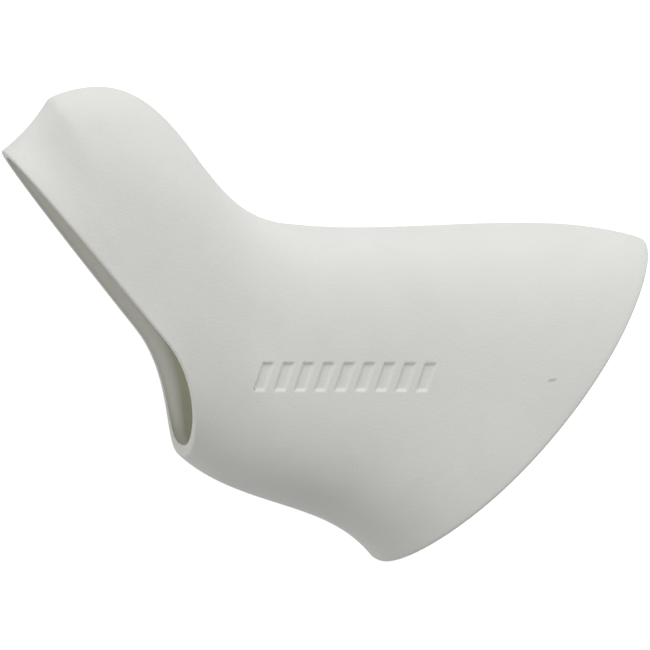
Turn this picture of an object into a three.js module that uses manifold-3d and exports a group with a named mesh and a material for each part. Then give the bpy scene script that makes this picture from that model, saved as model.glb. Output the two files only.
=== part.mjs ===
// Brake lever hood: the one-piece moulded rubber cover of a road brake lever.
// It is a bent, hollow sleeve with two mouths. The wide rear mouth meets the
// handlebar, the long slanted front mouth lets the lever blade out, and the
// raised horn above the front mouth is closed at its nose.
//
// Side view: +X runs towards the handlebar, +Y up along the horn, +Z out of
// the side that carries the pressed pattern. The origin of the side view is
// the root of the horn, on the top line of the grip.

import * as THREE from 'three';
import { mergeVertices } from 'three/addons/utils/BufferGeometryUtils.js';
import { ConvexHull } from 'three/addons/math/ConvexHull.js';
import Module from 'manifold-3d';

// Side view sizes, in millimetres.
const GRIP_LENGTH = 62.1; // horn root to the top of the rear mouth
const REAR_CORNER_DROP = 2.1; // how far the rear corner lies below the grip
const REAR_CORNER_RADIUS = 0.8;
const GRIP_CROWN = 2.0; // swell of the grip's top line
const HORN_RISE = 23.6; // grip to the crest of the horn
const HORN_REACH = 35.8; // horn root to the crest
const HORN_ROOT_RUN = 19.1; // length of the hollow curve at the horn's root
const HORN_ROOT_LIFT = 11.6; // rise of that curve
const BROW_RUN = 9.0; // crest to the brow, where the nose begins
const BROW_DROP = 2.2;
const NOSE_RUN = 8.1; // brow to the nose tip
const NOSE_DROP = 9.2;
const NOSE_HOLLOW = 0.6; // depth of the hollow curve down the nose
const LIP_REACH = 20.4; // horn root to the lip under the front mouth
const LIP_DROP = 40.4;
const HEEL_REACH = 15.6; // horn root back to the heel of the rear mouth
const HEEL_DROP = 59.2;
const BELLY_HOLLOW = 5.9; // pull of the belly's curve inwards near the heel
const BELLY_SWELL = 3.7; // and outwards near the lip
const MOUTH_STRAIGHT = 41.5; // straight stretch of the front mouth's rim
const MOUTH_BEND_REACH = 19.7; // the bend below it, as a corner point
const MOUTH_BEND_DROP = 26.9;
const REAR_BOW = 5.5; // how far the rear mouth's rim bows out
const REAR_FADE = 2; // how fast the rear rim's curve fades along the hood
const FRONT_FADE = 3; // and the front rim's

// How the curves of the top line leave their rear end and arrive at their
// front end, as shares of each stretch's run and rise.
const CORNER_MIDDLE = [-0.15, 0.75]; // in corner radii
const CORNER_END = [-1, 0.9];
const GRIP_HANDLES = { leave: [-0.28, 2.4], arrive: [0.31, -0.9] }; // rise in crowns
const HORN_ROOT_HANDLES = { leave: [-0.53, 0.04], arrive: [0.27, -0.54] };
const HORN_BACK_HANDLES = { leave: [-0.27, 0.51], arrive: [0.42, 0] };
const BROW_HANDLES = { leave: [-0.4, 0], arrive: [0.22, 0.5] };
const BELLY_HANDLE = 1 / 3;

// Widths across the hood, in millimetres.
const REAR_WIDTH = 37.0;
const GRIP_WIDTH = 30.9;
const HORN_ROOT_WIDTH = 30.3;
const FRONT_WIDTH = 25.8;
const FRONT_TAPER = 0.56; // gain from top to belly at the front mouth, as a share
const SECTION_POWER = 2.7; // 2 is an ellipse, higher is squarer

// The ridge down the middle of the nose and the hollows beside it.
const SCOOP_DEPTH = 1.3; // hollow on each side, in millimetres
const SCOOP_PLACE = 0.955; // where it lies along the hood
const SCOOP_REACH = 0.06; // its half length along the hood
const SCOOP_BELOW = 0.2; // how far down the section it reaches
const RIDGE_BELOW = 0.14; // how far down the brow's ridge fades away
const RIDGE_BLEND = 0.05; // how far along the hood it fades into

// Wall and rims, in millimetres.
const WALL = 2.3;
const FRONT_EDGE_WALL = 1.5; // thinner at the front mouth
const FRONT_BAND = 3.4; // width of the thinned band inside the mouth
const BAND_KNEE = 0.6; // share of the band's width at which it thickens faster
const KNEE_WALL = 0.3; // share of the thickening done by there
const REAR_EDGE_RADIUS = 0.6;
const FRONT_EDGE_RADIUS = 0.35;

// Pressed pattern of slanted bars on the +Z side, in millimetres.
const BAR_COUNT = 9;
const BAR_PITCH = 3.6;
const BAR_WIDTH = 1.8;
const BAR_HEIGHT = 4.6;
const BAR_SLANT = 1.5; // how far the top of a bar leans forward
const BAR_DEPTH = 0.4;
const PATTERN_CENTRE = new THREE.Vector2(5.1, -25.2);

// Fineness of the mesh.
const COLUMNS = 56;
const OUTER_ROWS = 44;
const INNER_ROWS = 26;
const PROBE = 1e-4; // small step along a curve
const SECTION_PROBE = 0.02; // small step down a section
const MOUTH_PROBE = 0.01; // small step in from a mouth
const LEAST_CROSSING = 0.5; // limits the inset where an edge meets at a slant
const EVEN_SHARES = [-1, -1 / 3, 1 / 3, 1]; // places averaged to even out a corner

const COLOUR = 0xe6e5e1;

const at = (x, y) => new THREE.Vector2(x, y);

// Key points of the side view.
const hornRoot = at(0, 0);
const rearTop = at(GRIP_LENGTH, -REAR_CORNER_DROP);
const hornBack = at(-HORN_ROOT_RUN, HORN_ROOT_LIFT);
const crest = at(-HORN_REACH, HORN_RISE);
const brow = crest.clone().add(at(-BROW_RUN, -BROW_DROP));
const nose = brow.clone().add(at(-NOSE_RUN, -NOSE_DROP));
const lip = at(-LIP_REACH, -LIP_DROP);
const heel = at(HEEL_REACH, -HEEL_DROP);

/** Cubic curve whose handles are shares of a run and a rise. */
function cubic(start, end, handles, run, rise) {
  const [leave, arrive] = [handles.leave, handles.arrive].map(([x, y]) => at(x * run, y * rise));
  return new THREE.CubicBezierCurve(start, leave.add(start), arrive.add(end), end);
}

/** Curve between two points whose middle is pushed out sideways. */
function bowed(start, end, push) {
  const along = end.clone().sub(start).normalize();
  const middle = start.clone().lerp(end, 0.5);
  middle.add(at(-along.y, along.x).multiplyScalar(2 * push));
  return new THREE.QuadraticBezierCurve(start, middle, end);
}

// The top line, from the rear mouth over the grip and the horn to the nose.
const cornerTop = rearTop.clone().add(at(...CORNER_END).multiplyScalar(REAR_CORNER_RADIUS));
const cornerMiddle = rearTop.clone()
  .add(at(...CORNER_MIDDLE).multiplyScalar(REAR_CORNER_RADIUS));
const topLine = new THREE.CurvePath();
topLine.add(new THREE.QuadraticBezierCurve(rearTop, cornerMiddle, cornerTop));
topLine.add(cubic(cornerTop, hornRoot, GRIP_HANDLES, GRIP_LENGTH, GRIP_CROWN));
topLine.add(cubic(hornRoot, hornBack, HORN_ROOT_HANDLES, HORN_ROOT_RUN, HORN_ROOT_LIFT));
topLine.add(cubic(hornBack, crest, HORN_BACK_HANDLES,
  HORN_REACH - HORN_ROOT_RUN, HORN_RISE - HORN_ROOT_LIFT));
topLine.add(cubic(crest, brow, BROW_HANDLES, BROW_RUN, BROW_DROP));
topLine.add(bowed(brow, nose, NOSE_HOLLOW));

// The belly, from the heel of the rear mouth forward to the lip.
const bellyRun = lip.clone().sub(heel);
const bellyIn = at(-bellyRun.y, bellyRun.x).negate().normalize();
const bellyMiddles = [
  heel.clone().addScaledVector(bellyRun, BELLY_HANDLE).addScaledVector(bellyIn, BELLY_HOLLOW),
  lip.clone().addScaledVector(bellyRun, -BELLY_HANDLE).addScaledVector(bellyIn, -BELLY_SWELL)];
const belly = new THREE.CubicBezierCurve(heel, ...bellyMiddles, lip);

// The rims seen from the side, each from its top end to its bottom end.
const rearRim = bowed(rearTop, heel, REAR_BOW);
const mouthBend = at(-MOUTH_BEND_REACH, -MOUTH_BEND_DROP);
const straightEnd = mouthBend.clone().sub(nose).setLength(MOUTH_STRAIGHT).add(nose);
const frontRim = new THREE.CurvePath();
frontRim.add(new THREE.LineCurve(nose, straightEnd));
frontRim.add(new THREE.QuadraticBezierCurve(straightEnd, mouthBend, lip));

const widths = new THREE.SplineCurve([
  at(0, REAR_WIDTH), at(1 / 3, GRIP_WIDTH), at(2 / 3, HORN_ROOT_WIDTH), at(1, FRONT_WIDTH)]);

/** Smooth hump that is 1 at the middle and 0 beyond the half width. */
function hump(distance, halfWidth) {
  const t = Math.min(Math.abs(distance) / halfWidth, 1);
  return 1 - t * t * (3 - 2 * t);
}

/** How a rim departs from the straight line between its two ends. */
function departure(rim, v) {
  const start = rim.getPoint(0);
  return rim.getPoint(v).sub(start.lerp(rim.getPoint(1), v));
}

/** The top line with its corners evened out, as the sides follow it. */
function evenTop(u) {
  const reach = Math.min(RIDGE_BLEND, u, 1 - u);
  return EVEN_SHARES.reduce((sum, share) => sum.add(topLine.getPoint(u + share * reach)), at(0, 0))
    .divideScalar(EVEN_SHARES.length);
}

/** Side view of the hood: u runs rear to front, v from top to belly. */
function sideView(u, v) {
  const top = evenTop(u).lerp(topLine.getPoint(u), hump(v, RIDGE_BELOW));
  const point = top.lerp(belly.getPoint(u), v);
  point.addScaledVector(departure(rearRim, v), (1 - u) ** REAR_FADE);
  point.addScaledVector(departure(frontRim, v), u ** FRONT_FADE);
  return point;
}

/** Half of the hood's width at a place in the side view. */
function halfWidth(u, v) {
  const taper = 1 + FRONT_TAPER * u * u * (v - 0.5);
  const scoop = SCOOP_DEPTH * hump(u - SCOOP_PLACE, SCOOP_REACH) * hump(v, SCOOP_BELOW);
  return 0.5 * widths.getPoint(u).y * taper - scoop;
}

/** How squarely the section at u meets the top line (v 0) or the belly (v 1). */
function crossing(u, edge, v) {
  const near = Math.min(Math.max(u, PROBE), 1 - PROBE);
  const along = edge.getPoint(near + PROBE).sub(edge.getPoint(near - PROBE)).normalize();
  const within = v === 0 ? SECTION_PROBE : 1 - SECTION_PROBE;
  const down = sideView(u, within).sub(sideView(u, v)).normalize();
  return Math.max(Math.abs(along.cross(down)), LEAST_CROSSING);
}

/** Point of the skin set in by a distance; angle 0 is the top line. */
function skin(u, angle, inset) {
  const cos = Math.cos(angle);
  const sin = Math.sin(angle);
  const reach = (Math.abs(cos) ** SECTION_POWER + Math.abs(sin) ** SECTION_POWER)
    ** (-1 / SECTION_POWER);
  const length = topLine.getPoint(u).distanceTo(belly.getPoint(u));
  const first = inset / (crossing(u, topLine, 0) * length);
  const last = 1 - inset / (crossing(u, belly, 1) * length);
  const v = first + (last - first) * 0.5 * (1 - reach * cos);
  const side = sideView(u, v);
  return new THREE.Vector3(side.x, side.y, (halfWidth(u, v) - inset) * reach * sin);
}

/** The value of u that lies a given depth inside a mouth. */
function depthToU(end, angle, depth) {
  const step = end === 0 ? MOUTH_PROBE : -MOUTH_PROBE;
  const speed = skin(end, angle, 0).distanceTo(skin(end + step, angle, 0)) / MOUTH_PROBE;
  return end + Math.sign(step) * depth / speed;
}

/** One closed row of the surface, from a function of the angle. */
function row(pointAt) {
  return Array.from({ length: COLUMNS }, (_, i) => pointAt(i * 2 * Math.PI / COLUMNS));
}

/** Rows of skin between two depths, one inside each mouth. */
function skinRows(count, rearDepth, frontDepth, inset) {
  return Array.from({ length: count }, (_, i) => row((angle) => {
    const rear = depthToU(0, angle, rearDepth);
    const front = depthToU(1, angle, frontDepth);
    return skin(rear + (front - rear) * i / (count - 1), angle, inset);
  }));
}

/** A row near a mouth, at a depth inside it and an inset from the skin. */
function mouthRow(end, depth, inset) {
  return row((angle) => skin(depthToU(end, angle, depth), angle, inset));
}

/** Triangles between rows of equal length; the rows may close on themselves. */
function gridGeometry(rows, closed) {
  const positions = rows.flat().flatMap((p) => [p.x, p.y, p.z]);
  const index = [];
  const bands = closed ? rows.length : rows.length - 1;
  for (let r = 0; r < bands; r += 1) {
    const next = (r + 1) % rows.length;
    for (let c = 0; c < COLUMNS; c += 1) {
      const d = (c + 1) % COLUMNS;
      const [a, b] = [r * COLUMNS + c, r * COLUMNS + d];
      const [e, f] = [next * COLUMNS + c, next * COLUMNS + d];
      index.push(a, e, b, b, e, f);
    }
  }
  return { positions, index };
}

/** The hollow sleeve: outer skin, front rim, inner skin and rear rim. */
function sleeve() {
  const rearSoft = REAR_EDGE_RADIUS * (1 - Math.SQRT1_2);
  const frontSoft = FRONT_EDGE_RADIUS * (1 - Math.SQRT1_2);
  const rows = [
    ...skinRows(OUTER_ROWS, REAR_EDGE_RADIUS, FRONT_EDGE_RADIUS, 0),
    mouthRow(1, frontSoft, frontSoft),
    mouthRow(1, 0, FRONT_EDGE_RADIUS),
    mouthRow(1, 0, FRONT_EDGE_WALL),
    mouthRow(1, BAND_KNEE * FRONT_BAND, FRONT_EDGE_WALL + KNEE_WALL * (WALL - FRONT_EDGE_WALL)),
    ...skinRows(INNER_ROWS, REAR_EDGE_RADIUS, FRONT_BAND, WALL).reverse(),
    mouthRow(0, rearSoft, WALL - rearSoft),
    mouthRow(0, 0, WALL - REAR_EDGE_RADIUS),
    mouthRow(0, 0, REAR_EDGE_RADIUS),
    mouthRow(0, rearSoft, rearSoft),
  ];
  return gridGeometry(rows, true);
}

/** The space inside the skin at one inset, closed with a fan at each mouth. */
function core(inset) {
  const rows = skinRows(OUTER_ROWS, 0, 0, inset);
  const { positions, index } = gridGeometry(rows, false);
  const last = (rows.length - 1) * COLUMNS;
  const rearCentre = positions.length / 3;
  const centres = [rows[0], rows[rows.length - 1]].map((ring) => ring
    .reduce((sum, p) => sum.add(p), new THREE.Vector3()).divideScalar(COLUMNS));
  centres.forEach((p) => positions.push(p.x, p.y, p.z));
  for (let c = 0; c < COLUMNS; c += 1) {
    const d = (c + 1) % COLUMNS;
    index.push(rearCentre, c, d);
    index.push(rearCentre + 1, last + d, last + c);
  }
  return { positions, index };
}

const wasm = await Module();
wasm.setup();

/** A solid for joining and cutting, from positions and triangles. */
function solid({ positions, index }) {
  const mesh = new wasm.Mesh({
    numProp: 3,
    vertProperties: new Float32Array(positions),
    triVerts: new Uint32Array(index),
  });
  mesh.merge();
  return new wasm.Manifold(mesh);
}

/** One slanted bar that stands right through the +Z side. */
function bar(place) {
  const outline = new THREE.Shape([
    at(-0.5 * (BAR_WIDTH + BAR_SLANT), -0.5 * BAR_HEIGHT),
    at(0.5 * (BAR_WIDTH - BAR_SLANT), -0.5 * BAR_HEIGHT),
    at(0.5 * (BAR_WIDTH + BAR_SLANT), 0.5 * BAR_HEIGHT),
    at(-0.5 * (BAR_WIDTH - BAR_SLANT), 0.5 * BAR_HEIGHT)]);
  const prism = new THREE.ExtrudeGeometry(outline, { depth: REAR_WIDTH, bevelEnabled: false });
  prism.deleteAttribute('normal');
  prism.deleteAttribute('uv');
  const merged = mergeVertices(prism.translate(place, 0, 0), 1e-4);
  merged.translate(PATTERN_CENTRE.x, PATTERN_CENTRE.y, 0);
  return solid({ positions: merged.attributes.position.array, index: merged.index.array });
}

/** The sleeve with the row of bars pressed into its +Z side. */
function hoodSolid() {
  const floor = solid(core(BAR_DEPTH));
  let hood = solid(sleeve());
  for (let i = 0; i < BAR_COUNT; i += 1) {
    const place = (i - 0.5 * (BAR_COUNT - 1)) * BAR_PITCH;
    hood = hood.subtract(bar(place).subtract(floor));
  }
  return hood;
}

/** Three.js geometry of a joined solid. */
function toGeometry(manifold) {
  const { vertProperties, triVerts } = manifold.getMesh();
  const geometry = new THREE.BufferGeometry();
  geometry.setAttribute('position', new THREE.Float32BufferAttribute(vertProperties, 3));
  geometry.setIndex(new THREE.Uint32BufferAttribute(triVerts, 1));
  return geometry;
}

/** Centre of volume of a closed mesh. */
function centreOfVolume(geometry) {
  const position = geometry.attributes.position;
  const index = geometry.index;
  const [a, b, c] = [new THREE.Vector3(), new THREE.Vector3(), new THREE.Vector3()];
  const sum = new THREE.Vector3();
  let volume = 0;
  for (let i = 0; i < index.count; i += 3) {
    a.fromBufferAttribute(position, index.getX(i));
    b.fromBufferAttribute(position, index.getX(i + 1));
    c.fromBufferAttribute(position, index.getX(i + 2));
    const part = a.dot(b.clone().cross(c)) / 6;
    volume += part;
    sum.addScaledVector(a.add(b).add(c), part / 4);
  }
  return sum.divideScalar(volume);
}

/** Direction that points down when the loose hood lies on its -Z side. */
function restingDown(geometry) {
  const position = geometry.attributes.position;
  const points = Array.from({ length: position.count }, (_, i) =>
    new THREE.Vector3().fromBufferAttribute(position, i));
  const faces = new ConvexHull().setFromPoints(points).faces;
  const centre = centreOfVolume(geometry);
  const down = new THREE.Vector3(0, 0, -1);
  for (let turn = 0; turn < faces.length; turn += 1) {
    const reach = (face) => face.distanceToPoint(centre) / -face.normal.dot(down);
    const under = faces.filter((face) => face.normal.dot(down) > PROBE)
      .reduce((best, face) => (reach(face) < reach(best) ? face : best));
    if (under.normal.distanceTo(down) < PROBE) {
      break;
    }
    down.copy(under.normal);
  }
  return down;
}

const geometry = toGeometry(hoodSolid());
const level = new THREE.Quaternion()
  .setFromUnitVectors(restingDown(geometry), new THREE.Vector3(0, 0, -1));
geometry.applyQuaternion(level);
geometry.computeBoundingBox();
const box = geometry.boundingBox;
const middle = box.getCenter(new THREE.Vector3());
geometry.translate(-middle.x, -middle.y, -box.min.z);
geometry.computeVertexNormals();

const hood = new THREE.Mesh(geometry, new THREE.MeshStandardMaterial({
  color: COLOUR, roughness: 0.8, metalness: 0 }));
hood.name = 'hood';

const group = new THREE.Group();
group.name = 'brake_lever_hood';
group.add(hood);

export default group;
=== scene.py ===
"""Brake lever hood: a moulded rubber sleeve that lies on its plain side.

The hood is built as one fine skin on the same curves as its solid: a wide
handlebar mouth, a flat grip, a raised closed horn and a long slanted front
mouth. All lengths of the hood are in millimetres in its own side view, and
are carried to metres in the frame of the solid.
"""
import logging
import math
from dataclasses import dataclass, field
from enum import Enum
from typing import Callable

import bpy
import numpy as np
from mathutils import Matrix, Quaternion, Vector


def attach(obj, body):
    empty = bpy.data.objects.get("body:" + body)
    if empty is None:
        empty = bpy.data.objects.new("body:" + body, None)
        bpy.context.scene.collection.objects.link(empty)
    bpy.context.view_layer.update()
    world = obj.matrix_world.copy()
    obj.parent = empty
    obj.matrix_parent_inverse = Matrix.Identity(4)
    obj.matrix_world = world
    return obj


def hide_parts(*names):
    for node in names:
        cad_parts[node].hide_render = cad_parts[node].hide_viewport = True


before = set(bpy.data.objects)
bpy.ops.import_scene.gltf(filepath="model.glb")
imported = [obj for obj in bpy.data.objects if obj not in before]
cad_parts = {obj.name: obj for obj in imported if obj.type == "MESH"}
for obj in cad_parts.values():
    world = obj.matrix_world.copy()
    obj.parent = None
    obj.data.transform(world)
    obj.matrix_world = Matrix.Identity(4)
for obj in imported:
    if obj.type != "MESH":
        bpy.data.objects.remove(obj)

logging.basicConfig(level=logging.INFO, format="%(message)s")
LOG = logging.getLogger("brake_lever_hood")

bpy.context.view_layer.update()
MM = 0.001

Points = np.ndarray
Curve = Callable[[Points], Points]
Colour = tuple[float, float, float]
Place = tuple[float, float, float]

# How the curves of the top line leave their rear end and arrive at their
# front end, as shares of each stretch's run and rise.
CORNER_MIDDLE = (-0.15, 0.75)
CORNER_END = (-1.0, 0.9)
GRIP_HANDLES = ((-0.28, 2.4), (0.31, -0.9))
HORN_ROOT_HANDLES = ((-0.53, 0.04), (0.27, -0.54))
HORN_BACK_HANDLES = ((-0.27, 0.51), (0.42, 0.0))
BROW_HANDLES = ((-0.4, 0.0), (0.22, 0.5))
BELLY_HANDLE = 1 / 3

# Small steps along the hood, down a section and in from a mouth.
EDGE_PROBE = 1e-3
SECTION_PROBE = 0.02
MOUTH_PROBE = 0.01

# Least sine of the angle between the section and an edge line, and the
# places round a point whose mean evens out the top line.
LEAST_CROSSING = 0.5
EVEN_SHARES = (-1, -1 / 3, 1 / 3, 1)


class Skin(Enum):
    """The two faces of the moulding, by their material index."""

    OUTER = 0
    INNER = 1


# Curves of the side view.


def cubic(start: Points, leave: Points, arrive: Points, end: Points) -> Curve:
    """Make a cubic curve from its ends and the handles at them.

    Args:
        start: First point.
        leave: Handle at the first point, relative to it.
        arrive: Handle at the last point, relative to it.
        end: Last point.

    Returns:
        A function from parameters between 0 and 1 to points.
    """
    near, far = start + leave, end + arrive

    def curve(t: Points) -> Points:
        """Points of the curve.

        Args:
            t: Parameters between 0 and 1.

        Returns:
            The points.
        """
        t = np.asarray(t, float)[..., None]
        s = 1 - t
        return s**3 * start + 3 * s * s * t * near + 3 * s * t * t * far + t**3 * end

    return curve


def quadratic(start: Points, middle: Points, end: Points) -> Curve:
    """Make a quadratic curve that heads for a middle point.

    Args:
        start: First point.
        middle: Point that both end tangents pass through.
        end: Last point.

    Returns:
        A function from parameters between 0 and 1 to points.
    """

    def curve(t: Points) -> Points:
        """Points of the curve.

        Args:
            t: Parameters between 0 and 1.

        Returns:
            The points.
        """
        t = np.asarray(t, float)[..., None]
        s = 1 - t
        return s * s * start + 2 * s * t * middle + t * t * end

    return curve


def bowed(start: Points, end: Points, push: float) -> Curve:
    """Make a curve between two points, with its middle pushed sideways.

    Args:
        start: First point.
        end: Last point.
        push: Distance of the curve's middle from the straight line.

    Returns:
        A function from parameters between 0 and 1 to points.
    """
    along = (end - start) / np.linalg.norm(end - start)
    side = np.array([-along[1], along[0]])
    return quadratic(start, (start + end) / 2 + side * 2 * push, end)


def stretch(start: Points, end: Points, handles: tuple[tuple[float, float], ...],
            size: Points) -> Curve:
    """Make a cubic curve whose handles are shares of a run and a rise.

    Args:
        start: First point.
        end: Last point.
        handles: The handle that leaves the start and the one that arrives.
        size: The run and the rise.

    Returns:
        A function from parameters between 0 and 1 to points.
    """
    leave, arrive = (np.array(handle) * size for handle in handles)
    return cubic(start, leave, arrive, end)


class Path:
    """Several curves end to end, read by their share of the whole length."""

    SAMPLES = 1500

    def __init__(self, curves: list[Curve]) -> None:
        """Sample the curves.

        Args:
            curves: The curves in order, each starting where the last ends.
        """
        steps = np.linspace(0, 1, self.SAMPLES)
        pieces = [curve(steps) for curve in curves]
        self.points = np.concatenate([pieces[0]] + [piece[1:] for piece in pieces[1:]])
        hops = np.linalg.norm(np.diff(self.points, axis=0), axis=1)
        length = np.concatenate([[0], np.cumsum(hops)])
        self.share = length / length[-1]

    def __call__(self, u: Points) -> Points:
        """Points at the given shares of the length."""
        u = np.asarray(u, float)
        return np.stack([np.interp(u, self.share, self.points[:, k]) for k in (0, 1)], axis=-1)


def hump(distance: Points, reach: float) -> Points:
    """Smooth hump that is 1 at the middle and 0 beyond its reach."""
    t = np.clip(np.abs(distance) / reach, 0, 1)
    return 1 - t * t * (3 - 2 * t)


def at(x: float, y: float) -> Points:
    """A point or an offset in the side view."""
    return np.array([x, y], float)


# The shape of the hood.


@dataclass
class HoodShape:
    """Skin of the hood on its own sizes, in millimetres.

    The side view has +X towards the handlebar and +Y up along the horn, and
    its origin is the root of the horn on the top line of the grip.
    """

    grip_length: float = 62.1
    rear_corner_drop: float = 2.1
    rear_corner_radius: float = 0.8
    grip_crown: float = 2.0
    horn_rise: float = 23.6
    horn_reach: float = 35.8
    horn_root_run: float = 19.1
    horn_root_lift: float = 11.6
    brow_run: float = 9.0
    brow_drop: float = 2.2
    nose_run: float = 8.1
    nose_drop: float = 9.2
    nose_hollow: float = 0.6
    lip_reach: float = 20.4
    lip_drop: float = 40.4
    heel_reach: float = 15.6
    heel_drop: float = 59.2
    belly_hollow: float = 5.9
    belly_swell: float = 3.7
    mouth_straight: float = 41.5
    mouth_bend_reach: float = 19.7
    mouth_bend_drop: float = 26.9
    rear_bow: float = 5.5
    rear_fade: int = 2
    front_fade: int = 3
    widths: tuple[float, ...] = (37.0, 30.9, 30.3, 25.8)
    front_taper: float = 0.56
    section_power: float = 2.7
    scoop_depth: float = 1.9
    scoop_place: float = 0.955
    scoop_reach: float = 0.055
    scoop_below: float = 0.26
    ridge_below: float = 0.14
    ridge_blend: float = 0.05

    def __post_init__(self) -> None:
        """Lay out the curves of the side view."""
        root = at(0, 0)
        rear_top = at(self.grip_length, -self.rear_corner_drop)
        back = at(-self.horn_root_run, self.horn_root_lift)
        crest = at(-self.horn_reach, self.horn_rise)
        brow = crest + at(-self.brow_run, -self.brow_drop)
        nose = brow + at(-self.nose_run, -self.nose_drop)
        lip = at(-self.lip_reach, -self.lip_drop)
        heel = at(self.heel_reach, -self.heel_drop)
        corner = rear_top + at(*CORNER_END) * self.rear_corner_radius
        corner_middle = rear_top + at(*CORNER_MIDDLE) * self.rear_corner_radius
        back_size = at(self.horn_reach - self.horn_root_run, self.horn_rise - self.horn_root_lift)
        self.top = Path([
            quadratic(rear_top, corner_middle, corner),
            stretch(corner, root, GRIP_HANDLES, at(self.grip_length, self.grip_crown)),
            stretch(root, back, HORN_ROOT_HANDLES, at(self.horn_root_run, self.horn_root_lift)),
            stretch(back, crest, HORN_BACK_HANDLES, back_size),
            stretch(crest, brow, BROW_HANDLES, at(self.brow_run, self.brow_drop)),
            bowed(brow, nose, self.nose_hollow),
        ])
        belly_run = lip - heel
        inwards = at(belly_run[1], -belly_run[0]) / np.linalg.norm(belly_run)
        self.belly = cubic(heel, belly_run * BELLY_HANDLE + inwards * self.belly_hollow,
                           -belly_run * BELLY_HANDLE - inwards * self.belly_swell, lip)
        self.rear_rim = bowed(rear_top, heel, self.rear_bow)
        bend = at(-self.mouth_bend_reach, -self.mouth_bend_drop)
        straight_end = nose + (bend - nose) / np.linalg.norm(bend - nose) * self.mouth_straight
        self.front_rim = Path([quadratic(nose, (nose + straight_end) / 2, straight_end),
                               quadratic(straight_end, bend, lip)])

    @staticmethod
    def departure(rim: Curve, v: Points) -> Points:
        """How a rim departs from the straight line between its ends."""
        share = np.asarray(v)[..., None]
        return rim(v) - (rim(0) * (1 - share) + rim(1) * share)

    def even_top(self, u: Points) -> Points:
        """The top line with its corners evened out, as the sides follow it."""
        reach = np.minimum(self.ridge_blend, np.minimum(u, 1 - np.asarray(u)))
        return sum(self.top(u + share * reach) for share in EVEN_SHARES) / len(EVEN_SHARES)

    def side(self, u: Points, v: Points) -> Points:
        """Side view of the skin.

        Args:
            u: Place along the hood, 0 at the rear mouth and 1 at the front.
            v: Place across it, 0 on the top line and 1 on the belly.

        Returns:
            The points, in millimetres.
        """
        share = np.asarray(v)[..., None]
        along = np.asarray(u)[..., None]
        ridge = hump(v, self.ridge_below)[..., None]
        top = self.top(u) * ridge + self.even_top(u) * (1 - ridge)
        line = top * (1 - share) + self.belly(u) * share
        return (line + (1 - along) ** self.rear_fade * self.departure(self.rear_rim, v)
                + along**self.front_fade * self.departure(self.front_rim, v))

    def width_at(self, u: Points) -> Points:
        """Full width along the hood, smooth through the named widths.

        Args:
            u: Place along the hood.

        Returns:
            The widths, in millimetres.
        """
        spots = np.clip(np.asarray(u, float), 0, 1) * (len(self.widths) - 1)
        first = np.minimum(spots.astype(int), len(self.widths) - 2)
        t = spots - first
        values = np.array(self.widths)
        last = len(values) - 1
        p0, p1 = values[np.maximum(first - 1, 0)], values[first]
        p2, p3 = values[first + 1], values[np.minimum(first + 2, last)]
        m1, m2 = (p2 - p0) / 2, (p3 - p1) / 2
        return ((2 * p1 - 2 * p2 + m1 + m2) * t**3 + (3 * p2 - 3 * p1 - 2 * m1 - m2) * t**2
                + m1 * t + p1)

    def half_width(self, u: Points, v: Points) -> Points:
        """Half of the width at a place in the side view.

        Args:
            u: Place along the hood.
            v: Place across it.

        Returns:
            The half widths, in millimetres.
        """
        taper = 1 + self.front_taper * u * u * (v - 0.5)
        scoop = (self.scoop_depth * hump(u - self.scoop_place, self.scoop_reach)
                 * hump(v, self.scoop_below))
        return 0.5 * self.width_at(u) * taper - scoop

    def crossing(self, u: Points, edge: Curve, v: float) -> Points:
        """How squarely the section meets the top line or the belly.

        Args:
            u: Place along the hood.
            edge: The top line or the belly.
            v: 0 for the top line and 1 for the belly.

        Returns:
            The sine of the angle between them, kept off zero.
        """
        near = np.clip(u, EDGE_PROBE, 1 - EDGE_PROBE)
        along = edge(near + EDGE_PROBE) - edge(near - EDGE_PROBE)
        along /= np.linalg.norm(along, axis=-1, keepdims=True)
        within = SECTION_PROBE if v == 0 else 1 - SECTION_PROBE
        inside = np.full_like(np.asarray(u, float), within)
        down = self.side(u, inside) - self.side(u, np.full_like(inside, v))
        down /= np.linalg.norm(down, axis=-1, keepdims=True)
        turn = along[..., 0] * down[..., 1] - along[..., 1] * down[..., 0]
        return np.maximum(np.abs(turn), LEAST_CROSSING)

    def skin(self, u: Points, angle: Points, inset: Points) -> Points:
        """Points of the skin, set in from the outside.

        Args:
            u: Place along the hood.
            angle: Angle round the section, 0 on the top line.
            inset: Distance in from the outer skin, in millimetres.

        Returns:
            The points, in millimetres.
        """
        u = np.clip(u, 0, 1)
        cos, sin = np.cos(angle), np.sin(angle)
        power = self.section_power
        reach = (np.abs(cos) ** power + np.abs(sin) ** power) ** (-1 / power)
        length = np.linalg.norm(self.top(u) - self.belly(u), axis=-1)
        first = inset / (self.crossing(u, self.top, 0) * length)
        last = 1 - inset / (self.crossing(u, self.belly, 1) * length)
        v = first + (last - first) * 0.5 * (1 - reach * cos)
        side = self.side(u, v)
        depth = (self.half_width(u, v) - inset) * reach * sin
        return np.concatenate([side, depth[..., None]], axis=-1)

    def depth_to_u(self, end: int, angle: Points, depth: float) -> Points:
        """Place along the hood that lies a depth inside a mouth.

        Args:
            end: 0 for the rear mouth and 1 for the front.
            angle: Angles round the section.
            depth: Depth inside the mouth, in millimetres.

        Returns:
            The places along the hood.
        """
        step = MOUTH_PROBE if end == 0 else -MOUTH_PROBE
        ends = np.full_like(angle, float(end))
        zero = np.zeros_like(angle)
        hop = self.skin(ends, angle, zero) - self.skin(ends + step, angle, zero)
        speed = np.linalg.norm(hop, axis=-1) / MOUTH_PROBE
        return ends + math.copysign(1, step) * depth / speed


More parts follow.
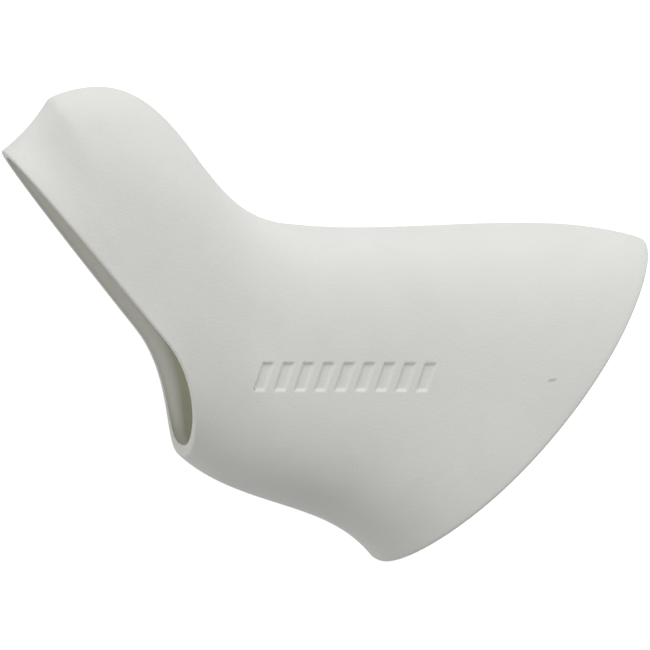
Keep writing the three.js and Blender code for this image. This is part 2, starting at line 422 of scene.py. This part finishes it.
@dataclass
class PressedBars:
    """Plain row of slanted bars pressed into the upper side, in millimetres."""

    count: int = 9
    pitch: float = 3.6
    width: float = 1.8
    height: float = 4.6
    slant: float = 1.5
    depth: float = 0.4
    soft: float = 0.2
    centre: tuple[float, float] = (5.1, -25.2)

    def depth_at(self, points: Points) -> Points:
        """Depth of the pressing at points of the outer skin.

        Args:
            points: Points in the side view with their height, in millimetres.

        Returns:
            The depth at each point, in millimetres.
        """
        x = points[..., 0] - self.centre[0]
        y = points[..., 1] - self.centre[1]
        x = x - y * self.slant / self.height
        middle = 0.5 * (self.count - 1)
        nearest = np.clip(np.round(x / self.pitch + middle), 0, self.count - 1)
        x = x - (nearest - middle) * self.pitch
        outside = np.maximum(np.abs(x) - 0.5 * self.width, np.abs(y) - 0.5 * self.height)
        share = np.clip(0.5 - outside / (2 * self.soft), 0, 1)
        return self.depth * share * share * (3 - 2 * share) * (points[..., 2] > 0)


@dataclass
class RestingPlace:
    """Turn and shift from the side view to the frame, for the hood at rest."""

    turn: tuple[float, ...] = (0.99895002, -0.04189333, -0.01854216, 0.00000000)
    middle: tuple[float, ...] = (4.62510, -17.70159)
    lowest: float = -14.25461

    def turned(self, directions: Points) -> Points:
        """Turn directions from the side view to the frame."""
        return directions @ np.array(Quaternion(self.turn).to_matrix()).T

    def carry(self, points: Points) -> Points:
        """Carry points from the side view to the frame, in metres."""
        return (self.turned(points) - np.array([*self.middle, self.lowest])) * MM


# Shader pieces and finishes.


class Nodes:
    """A node tree with short calls for making and joining nodes."""

    def __init__(self, tree: bpy.types.NodeTree) -> None:
        """Keep the tree.

        Args:
            tree: Tree of a material or of a node group.
        """
        self.tree = tree

    def add(self, kind: str, values: dict | None = None, **settings: object) -> bpy.types.Node:
        """Add a node.

        Args:
            kind: The node's type.
            values: Input values or sockets, by input name or number.
            settings: Attributes of the node.

        Returns:
            The new node.
        """
        node = self.tree.nodes.new(kind)
        for name, value in settings.items():
            setattr(node, name, value)
        for name, value in (values or {}).items():
            if isinstance(value, bpy.types.NodeSocket):
                self.tree.links.new(value, node.inputs[name])
            else:
                node.inputs[name].default_value = value
        return node

    def maths(self, kind: str, first: object, second: object = 0.0,
              clamp: bool = False) -> bpy.types.NodeSocket:
        """Add a maths node and give its result."""
        return self.add("ShaderNodeMath", {0: first, 1: second}, operation=kind,
                        use_clamp=clamp).outputs[0]

    def weighted(self, share: float, first: object, second: object) -> bpy.types.NodeSocket:
        """Add two values, the first by a share and the second by the rest."""
        return self.maths("ADD", self.maths("MULTIPLY", first, share),
                          self.maths("MULTIPLY", second, 1 - share))

    def blend(self, share: object, first: object, second: object) -> bpy.types.NodeSocket:
        """Add a colour mix and give its result."""
        return self.add("ShaderNodeMix", {0: share, 6: first, 7: second},
                        data_type="RGBA").outputs[2]

    def spread(self, value: object, low: float, high: float) -> bpy.types.NodeSocket:
        """Map a value from low..high to a smooth 0..1."""
        return self.add("ShaderNodeMapRange", {0: value, 1: low, 2: high, 3: 0.0, 4: 1.0},
                        interpolation_type="SMOOTHSTEP").outputs[0]


class MouldedGrain:
    """Shader group for the fine grain and mottling of moulded rubber.

    Sizes are in millimetres, and noises are given by detail and roughness.
    """

    NAME = "moulded_grain"
    INPUTS = {"Grain Size": 0.35, "Grain Share": 1.0, "Mottle Size": 9.0}
    OUTPUTS = ("Height", "Mottle", "Specks", "Polish")
    FINE_NOISE = (3.0, 0.55)
    SWELL_NOISE = (2.0, 0.5)
    CLOUD_NOISE = (4.0, 0.6)
    CLOUD_SIZE = 0.4
    PIT_SCALE = 0.7
    FINE_SHARE = 0.65
    SWELL_SHARE = 0.6
    CLOUD_SHARE = 0.7
    SPECK_SPACING = 5.0
    SPECK_EDGE = (0.055, 0.03)
    SPECK_CHANCE = 0.82

    @classmethod
    def group(cls) -> bpy.types.NodeTree:
        """Build the group once, or give the one already built.

        Returns:
            The node group.
        """
        if cls.NAME in bpy.data.node_groups:
            return bpy.data.node_groups[cls.NAME]
        tree = bpy.data.node_groups.new(cls.NAME, "ShaderNodeTree")
        for name, value in cls.INPUTS.items():
            socket = tree.interface.new_socket(
                name=name, in_out="INPUT", socket_type="NodeSocketFloat")
            socket.default_value = value
        for name in cls.OUTPUTS:
            tree.interface.new_socket(
                name=name, in_out="OUTPUT", socket_type="NodeSocketFloat")
        nodes = Nodes(tree)
        inputs = nodes.add("NodeGroupInput").outputs
        outputs = nodes.add("NodeGroupOutput").inputs
        for name, socket in cls.effects(nodes, inputs).items():
            tree.links.new(socket, outputs[name])
        return tree

    @classmethod
    def effects(cls, nodes: Nodes, inputs: object) -> dict[str, bpy.types.NodeSocket]:
        """Build what the group puts out.

        Args:
            nodes: The group's tree.
            inputs: Sockets of the group's inputs, by name.

        Returns:
            The results, by the name of the output.
        """
        place = nodes.add("ShaderNodeTexCoord").outputs["Object"]
        grain = nodes.maths("DIVIDE", 1 / MM, inputs["Grain Size"])
        cloud_size = nodes.maths("MULTIPLY", inputs["Mottle Size"], cls.CLOUD_SIZE)

        def noise(scale: object, kind: tuple[float, float]) -> bpy.types.NodeSocket:
            """Noise at a scale per metre, of a given detail and roughness."""
            return nodes.add("ShaderNodeTexNoise", {
                "Vector": place, "Scale": scale, "Detail": kind[0],
                "Roughness": kind[1]}).outputs[0]

        fine = noise(grain, cls.FINE_NOISE)
        swell = noise(nodes.maths("DIVIDE", 1 / MM, inputs["Mottle Size"]), cls.SWELL_NOISE)
        cloud = noise(nodes.maths("DIVIDE", 1 / MM, cloud_size), cls.CLOUD_NOISE)
        pits = nodes.add("ShaderNodeTexVoronoi", {
            "Vector": place, "Scale": nodes.maths("MULTIPLY", grain, cls.PIT_SCALE),
            "Randomness": 1.0}).outputs["Distance"]
        seeds = nodes.add("ShaderNodeTexVoronoi", {
            "Vector": place, "Scale": 1 / (cls.SPECK_SPACING * MM), "Randomness": 1.0})
        small = nodes.spread(seeds.outputs["Distance"], *cls.SPECK_EDGE)
        chance = nodes.add("ShaderNodeSeparateColor", {0: seeds.outputs["Color"]}).outputs[0]
        chosen = nodes.maths("GREATER_THAN", chance, cls.SPECK_CHANCE)
        height = nodes.weighted(cls.FINE_SHARE, fine, pits)
        return {
            "Height": nodes.maths("MULTIPLY", height, inputs["Grain Share"]),
            "Mottle": nodes.weighted(cls.SWELL_SHARE, swell, cloud),
            "Specks": nodes.maths("MULTIPLY", small, chosen),
            "Polish": nodes.weighted(cls.CLOUD_SHARE, cloud, fine),
        }


@dataclass(frozen=True)
class RubberFinish:
    """Matte moulded rubber of one face of the hood.

    The grain and the mottling are in millimetres, as their group takes them.
    The bump and the scuff are in metres.
    """

    name: str
    colour: Colour
    shade: Colour
    speck: Colour = (0.36, 0.35, 0.31)
    speck_share: float = 0.55
    # Painted highlight: a cream colour laid on the mouth edges and fading into the front mouth,
    # where light catches them.
    rim: Colour = (0.93, 0.92, 0.87)
    rim_highlight_share: float = 0.8
    grain_size: float = 0.35
    grain_share: float = 1.0
    mottle_size: float = 9.0
    noise_range: tuple[float, float] = (0.3, 0.7)
    bump_depth: float = 0.00005
    roughness: tuple[float, float] = (0.52, 0.68)
    sheen: float = 0.12
    sheen_roughness: float = 0.5
    specular: float = 0.4
    scuff_at: Place | None = None
    scuff_size: tuple[float, float, float] = (0.0011, 0.00035, 0.004)
    scuff_turn: tuple[float, float, float] = (0.0, 0.0, 0.25)
    scuff_edge: tuple[float, float] = (1.0, 0.45)
    scuff_share: float = 0.5

    def material(self) -> bpy.types.Material:
        """Build the material.

        Returns:
            The material, with colour, roughness and bump from its nodes.
        """
        material = bpy.data.materials.new(self.name)
        material.use_nodes = True
        tree = material.node_tree
        nodes = Nodes(tree)
        shader = tree.nodes["Principled BSDF"]
        grain = nodes.add("ShaderNodeGroup", node_tree=MouldedGrain.group())
        grain.inputs["Grain Size"].default_value = self.grain_size
        grain.inputs["Grain Share"].default_value = self.grain_share
        grain.inputs["Mottle Size"].default_value = self.mottle_size
        tree.links.new(self.tint(nodes, grain), shader.inputs["Base Color"])
        rough = nodes.add("ShaderNodeMapRange", dict(enumerate(
            (grain.outputs["Polish"], *self.noise_range, *self.roughness)))).outputs[0]
        tree.links.new(rough, shader.inputs["Roughness"])
        bump = nodes.add("ShaderNodeBump", {
            "Height": grain.outputs["Height"], "Strength": 1.0, "Distance": self.bump_depth})
        tree.links.new(bump.outputs["Normal"], shader.inputs["Normal"])
        shader.inputs["Sheen Weight"].default_value = self.sheen
        shader.inputs["Sheen Roughness"].default_value = self.sheen_roughness
        shader.inputs["Specular IOR Level"].default_value = self.specular
        return material

    def tint(self, nodes: Nodes, grain: bpy.types.Node) -> bpy.types.NodeSocket:
        """Colour of the rubber, with its mottling, specks, painted highlight on the mouth edges
        and scuff.

        Args:
            nodes: Tree of the material.
            grain: The grain group placed in it.

        Returns:
            The colour.
        """
        share = nodes.spread(grain.outputs["Mottle"], *self.noise_range)
        colour = nodes.blend(share, (*self.shade, 1), (*self.colour, 1))
        specks = nodes.maths("MULTIPLY", grain.outputs["Specks"], self.speck_share)
        colour = nodes.blend(specks, colour, (*self.speck, 1))
        # Painted highlight: the rim attribute blends the cream colour onto the mouth edges and
        # the band inside the front mouth.
        rim = nodes.add("ShaderNodeAttribute", attribute_name="rim").outputs["Fac"]
        rim = nodes.maths("MULTIPLY", rim, self.rim_highlight_share)
        colour = nodes.blend(rim, colour, (*self.rim, 1))
        if self.scuff_at is not None:
            colour = nodes.blend(self.scuff(nodes), colour, (*self.speck, 1))
        return colour

    def scuff(self, nodes: Nodes) -> bpy.types.NodeSocket:
        """Mask of the one short grey scuff on the side.

        Args:
            nodes: Tree of the material.

        Returns:
            The mask, highest inside the scuff.
        """
        place = nodes.add("ShaderNodeTexCoord").outputs["Object"]
        moved = nodes.add("ShaderNodeMapping", {
            0: place, 1: self.scuff_at, 2: self.scuff_turn, 3: self.scuff_size},
            vector_type="TEXTURE").outputs[0]
        length = nodes.add("ShaderNodeVectorMath", {0: moved}, operation="LENGTH")
        mask = nodes.spread(length.outputs["Value"], *self.scuff_edge)
        return nodes.maths("MULTIPLY", mask, self.scuff_share)


# The hood itself.


@dataclass
class Hood:
    """The whole moulding as one closed, fine skin."""

    shape: HoodShape = field(default_factory=HoodShape)
    bars: PressedBars = field(default_factory=PressedBars)
    rest: RestingPlace = field(default_factory=RestingPlace)
    wall: float = 2.3
    front_edge_wall: float = 1.5
    front_band: float = 3.4
    rear_edge_radius: float = 0.6
    front_edge_radius: float = 0.35
    edge_steps: int = 5
    lip_radius: float = 0.25
    band_steps: int = 8
    dense_angles: tuple[float, float] = (1.24, 2.1)
    dense_columns: int = 92
    plain_step: float = 0.058
    dense_rows: tuple[float, float] = (0.1, 0.8)
    rear_rows: int = 16
    fine_rows: int = 330
    front_rows: int = 36
    inner_rows: int = 44
    # Shares of painted highlight on the front edge, the lip, the band inside the front mouth
    # (less with depth) and the rear edge.
    front_rim: float = 0.3
    lip_highlight: float = 0.1
    band_highlight_fall: float = 0.6
    rear_rim: float = 0.5
    # The outer finish also carries the painted highlight of the mouth edges.
    outer: RubberFinish = RubberFinish(
        "outer_rubber_painted_highlight", (0.795, 0.793, 0.766), (0.77, 0.768, 0.737),
        scuff_at=(0.0362, -0.0061, 0.0358))
    # The inner face is the same rubber painted a little darker and yellower: painted shade of the
    # hollow inside.
    inner: RubberFinish = RubberFinish(
        "inner_rubber_painted_shade", (0.775, 0.77, 0.645), (0.735, 0.73, 0.6), grain_size=0.5,
        grain_share=0.7, roughness=(0.6, 0.74))

    def angles(self) -> Points:
        """Angles round the section, closer together across the bars.

        Returns:
            The angles, from 0 up to but not including a full turn.
        """
        low, high = self.dense_angles
        before = np.linspace(0, low, round(low / self.plain_step), endpoint=False)
        across = np.linspace(low, high, self.dense_columns, endpoint=False)
        after = np.linspace(high, math.tau, round((math.tau - high) / self.plain_step),
                            endpoint=False)
        return np.concatenate([before, across, after])

    def stations(self) -> Points:
        """Shares of the way from rear to front, closer along the bars.

        Returns:
            The shares, from 0 to 1.
        """
        low, high = self.dense_rows
        before = np.linspace(0, low, self.rear_rows, endpoint=False)
        across = np.linspace(low, high, self.fine_rows, endpoint=False)
        after = np.linspace(high, 1, self.front_rows)
        return np.concatenate([before, across, after])

    def between(self, stations: Points, rear: float, front: float, inset: float) -> list[Points]:
        """Rows of skin between a depth inside each mouth.

        Args:
            stations: Shares of the way from rear to front.
            rear: Depth inside the rear mouth, in millimetres.
            front: Depth inside the front mouth.
            inset: Distance in from the outer skin.

        Returns:
            One row of points for each station.
        """
        angle = self.angles()
        start = self.shape.depth_to_u(0, angle, rear)
        stop = self.shape.depth_to_u(1, angle, front)
        return [self.shape.skin(start + (stop - start) * s, angle, np.full_like(angle, inset))
                for s in stations]

    def near_mouth(self, end: int, depth: float, inset: float) -> Points:
        """One row of skin at a depth inside a mouth.

        Args:
            end: 0 for the rear mouth and 1 for the front.
            depth: Depth inside the mouth, in millimetres.
            inset: Distance in from the outer skin.

        Returns:
            The points of the row.
        """
        angle = self.angles()
        u = self.shape.depth_to_u(end, angle, depth)
        return self.shape.skin(u, angle, np.full_like(angle, inset))

    def rounded(self, end: int, radius: float, inset: float, turn: int) -> list[Points]:
        """Rows of a rounded rim edge.

        Args:
            end: 0 for the rear mouth and 1 for the front.
            radius: Radius of the edge, in millimetres.
            inset: Inset of the skin that the edge starts from.
            turn: 1 where the edge turns inwards and -1 where outwards.

        Returns:
            The rows between the skin and the flat of the rim.
        """
        rows = []
        for step in range(1, self.edge_steps + 1):
            bend = step / self.edge_steps * math.pi / 2
            depth = radius * (1 - math.sin(bend))
            shift = radius * (1 - math.cos(bend))
            rows.append(self.near_mouth(end, depth, inset + turn * shift))
        return rows

    def band(self) -> tuple[list[Points], list[float]]:
        """Rows of the thinned band inside the front mouth.

        Returns:
            The rows, and how much painted highlight each one gets.
        """
        rows, highlights = [], []
        for step in range(1, self.band_steps):
            share = step / self.band_steps
            ease = share * share * (3 - 2 * share)
            depth = self.lip_radius + share * (self.front_band - self.lip_radius)
            wall = self.front_edge_wall + ease * (self.wall - self.front_edge_wall)
            rows.append(self.near_mouth(1, depth, wall))
            # Painted light: less painted highlight the deeper the band lies in the mouth.
            highlights.append(1 - self.band_highlight_fall * share)
        return rows, highlights

    def rows(self) -> tuple[list[Points], list[float], list[Skin]]:
        """All rows of the closed skin, in order.

        Returns:
            The rows, how much painted highlight each one gets, and its face.
        """
        outside = self.between(self.stations(), self.rear_edge_radius, self.front_edge_radius, 0)
        outside = [self.press(row) for row in outside]
        front = self.rounded(1, self.front_edge_radius, 0, 1)
        lip = self.rounded(1, self.lip_radius, self.front_edge_wall, -1)[::-1]
        lip.append(self.near_mouth(1, self.lip_radius, self.front_edge_wall))
        band, band_highlights = self.band()
        inside = self.between(np.linspace(1, 0, self.inner_rows), self.rear_edge_radius,
                              self.front_band, self.wall)
        rear_in = self.rounded(0, self.rear_edge_radius, self.wall, -1)
        rear_out = self.rounded(0, self.rear_edge_radius, 0, 1)[::-1]
        # Each group's middle value is its share of painted highlight.
        groups = [(outside, 0.0, Skin.OUTER), (front, self.front_rim, Skin.OUTER),
                  (lip, self.lip_highlight, Skin.OUTER), (band, band_highlights, Skin.OUTER),
                  (inside, 0.0, Skin.INNER), (rear_in, self.rear_rim, Skin.OUTER),
                  (rear_out, self.rear_rim, Skin.OUTER)]
        rows = [row for group, _, _ in groups for row in group]
        highlights = [value for group, rim, _ in groups for value in np.broadcast_to(rim, len(group))]
        faces = [face for group, _, face in groups for _ in group]
        return rows, highlights, faces

    def press(self, row: Points) -> Points:
        """Press the bars into one row of the outer skin.

        Args:
            row: The points of the row.

        Returns:
            The points, lower where a bar is.
        """
        pressed = row.copy()
        pressed[:, 2] -= self.bars.depth_at(row)
        return pressed

    def build(self) -> bpy.types.Object:
        """Build the moulding as one closed mesh.

        Returns:
            The new object, in the frame of the solid.
        """
        rows, highlights, faces = self.rows()
        columns = len(rows[0])
        points = self.rest.carry(np.concatenate(rows))
        count = len(rows)
        polygons, indices = [], []
        for r in range(count):
            s = (r + 1) % count
            for c in range(columns):
                d = (c + 1) % columns
                polygons.append((r * columns + c, s * columns + c,
                                 s * columns + d, r * columns + d))
                indices.append(faces[r].value)
        mesh = bpy.data.meshes.new("hood_skin")
        mesh.from_pydata(points.tolist(), [], polygons)
        mesh.polygons.foreach_set("material_index", indices)
        mesh.polygons.foreach_set("use_smooth", [True] * len(polygons))
        # The rim attribute carries the painted highlight to the material.
        rim = mesh.attributes.new("rim", "FLOAT", "POINT")
        rim.data.foreach_set("value", np.repeat(highlights, columns))
        mesh.update()
        piece = bpy.data.objects.new("hood_skin", mesh)
        bpy.context.scene.collection.objects.link(piece)
        return piece

    def dress(self, piece: bpy.types.Object) -> None:
        """Give the moulding its finishes and its place in the part.

        Args:
            piece: The object made by build.
        """
        piece.data.materials.append(self.outer.material())
        piece.data.materials.append(self.inner.material())
        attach(piece, "root")
        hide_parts("hood")


# The studio.


@dataclass(frozen=True)
class SoftLamp:
    """One square soft lamp, with its place and size in metres."""

    name: str
    place: Place
    size: float
    power: float
    colour: Colour

    def hang(self, target: Place) -> bpy.types.Object:
        """Hang the lamp.

        Args:
            target: Where it faces.

        Returns:
            The lamp object.
        """
        light = bpy.data.lights.new(self.name, "AREA")
        light.shape = "SQUARE"
        light.size = self.size
        light.energy = self.power
        light.color = self.colour
        lamp = bpy.data.objects.new(self.name, light)
        lamp.location = self.place
        aim = Vector(target) - Vector(self.place)
        lamp.rotation_euler = aim.to_track_quat("-Z", "Y").to_euler()
        bpy.context.scene.collection.objects.link(lamp)
        return lamp


@dataclass
class Studio:
    """Pale floor, soft lights and the camera at the photograph's angle."""

    rest: RestingPlace = field(default_factory=RestingPlace)
    yaw: float = 13.85
    pitch: float = 4.73
    roll: float = 1.42
    distance: float = 0.9
    pixels_per_mm: float = 5.707
    aim: Place = (4.5, -18.0, 0.0)
    frame_centre: tuple[float, float] = (321.6, 327.6)
    image_size: int = 650
    sensor_width: float = 36.0
    view_depth: float = 20.0
    floor_size: float = 6.0
    floor_colour: Colour = (0.74, 0.74, 0.735)
    floor_roughness: float = 0.9
    floor_glow: float = 0.76
    world_colour: Colour = (1.0, 1.0, 0.995)
    world_strength: float = 0.5
    world_lean: Place = (-0.02, 0.3, 0.0)
    hood_middle: Place = (0.0, 0.0, 0.018)
    lamps: tuple[SoftLamp, ...] = (
        SoftLamp("key", (0.05, 1.36, 0.7), 0.9, 8.5, (0.985, 0.99, 1.0)),
        SoftLamp("fill", (-1.3, -0.15, 0.55), 0.6, 1.5, (1.0, 1.0, 0.97)),
    )

    def floor(self) -> bpy.types.Object:
        """Lay the pale floor.

        Returns:
            The floor object.
        """
        half = self.floor_size / 2
        mesh = bpy.data.meshes.new("floor")
        mesh.from_pydata([(-half, -half, 0), (half, -half, 0), (half, half, 0), (-half, half, 0)],
                         [], [(0, 1, 2, 3)])
        floor = bpy.data.objects.new("floor", mesh)
        bpy.context.scene.collection.objects.link(floor)
        material = bpy.data.materials.new("floor_paper")
        material.use_nodes = True
        tree = material.node_tree
        nodes = Nodes(tree)
        shader = tree.nodes["Principled BSDF"]
        path = nodes.add("ShaderNodeLightPath")
        seen = nodes.maths("MAXIMUM", path.outputs["Is Camera Ray"], nodes.maths(
            "MAXIMUM", path.outputs["Is Glossy Ray"], path.outputs["Is Transmission Ray"]))
        glow = nodes.maths("MULTIPLY", seen, self.floor_glow)
        shader.inputs["Base Color"].default_value = (*self.floor_colour, 1)
        shader.inputs["Roughness"].default_value = self.floor_roughness
        shader.inputs["Emission Color"].default_value = (1, 1, 1, 1)
        tree.links.new(glow, shader.inputs["Emission Strength"])
        mesh.materials.append(material)
        return floor

    def lights(self) -> None:
        """Set the even studio light and the soft lamps."""
        world = bpy.data.worlds.new("studio")
        bpy.context.scene.world = world
        world.use_nodes = True
        background = world.node_tree.nodes["Background"]
        background.inputs["Color"].default_value = (*self.world_colour, 1)
        nodes = Nodes(world.node_tree)
        direction = nodes.add("ShaderNodeTexCoord").outputs["Generated"]
        lean = nodes.add("ShaderNodeVectorMath", {0: direction, 1: self.world_lean},
                         operation="DOT_PRODUCT").outputs["Value"]
        strength = nodes.maths("ADD", lean, self.world_strength, clamp=True)
        world.node_tree.links.new(strength, background.inputs["Strength"])
        for lamp in self.lamps:
            lamp.hang(self.hood_middle)

    def camera(self) -> bpy.types.Object:
        """Place the camera at the photograph's viewing angle.

        Returns:
            The camera object.
        """
        yaw, pitch, roll = (math.radians(angle) for angle in (self.yaw, self.pitch, self.roll))
        away = at(-math.sin(yaw) * math.cos(pitch), math.sin(pitch))
        away = np.append(away, math.cos(yaw) * math.cos(pitch))
        level = np.array([away[2], 0, -away[0]])
        level /= np.linalg.norm(level)
        upright = np.cross(away, level)
        right = level * math.cos(roll) + upright * math.sin(roll)
        up = upright * math.cos(roll) - level * math.sin(roll)
        axes = self.rest.turned(np.array([right, up, away]))
        centre = self.rest.carry(np.array(self.aim))
        data = bpy.data.cameras.new("camera")
        data.sensor_fit = "HORIZONTAL"
        data.sensor_width = self.sensor_width
        data.lens = (data.sensor_width * self.pixels_per_mm / MM * self.distance
                     / self.image_size)
        data.shift_x = (self.image_size / 2 - self.frame_centre[0]) / self.image_size
        data.shift_y = (self.frame_centre[1] - self.image_size / 2) / self.image_size
        data.clip_end = self.view_depth
        camera = bpy.data.objects.new("camera", data)
        turn = Matrix(axes.tolist()).transposed().to_4x4()
        place = centre + axes[2] * self.distance
        camera.matrix_world = Matrix.Translation(place.tolist()) @ turn
        bpy.context.scene.collection.objects.link(camera)
        bpy.context.scene.camera = camera
        return camera


def main() -> None:
    """Build the studio and the hood, and report each piece."""
    scene = bpy.context.scene
    scene.view_settings.view_transform = "Standard"
    studio = Studio()
    studio.camera()
    studio.lights()
    floor = studio.floor()
    LOG.info("laid %s", floor.name)
    hood = Hood()
    piece = hood.build()
    hood.dress(piece)
    LOG.info("built %s: %d points, %d faces", piece.name, len(piece.data.vertices),
             len(piece.data.polygons))


if __name__ == "__main__":
    main()
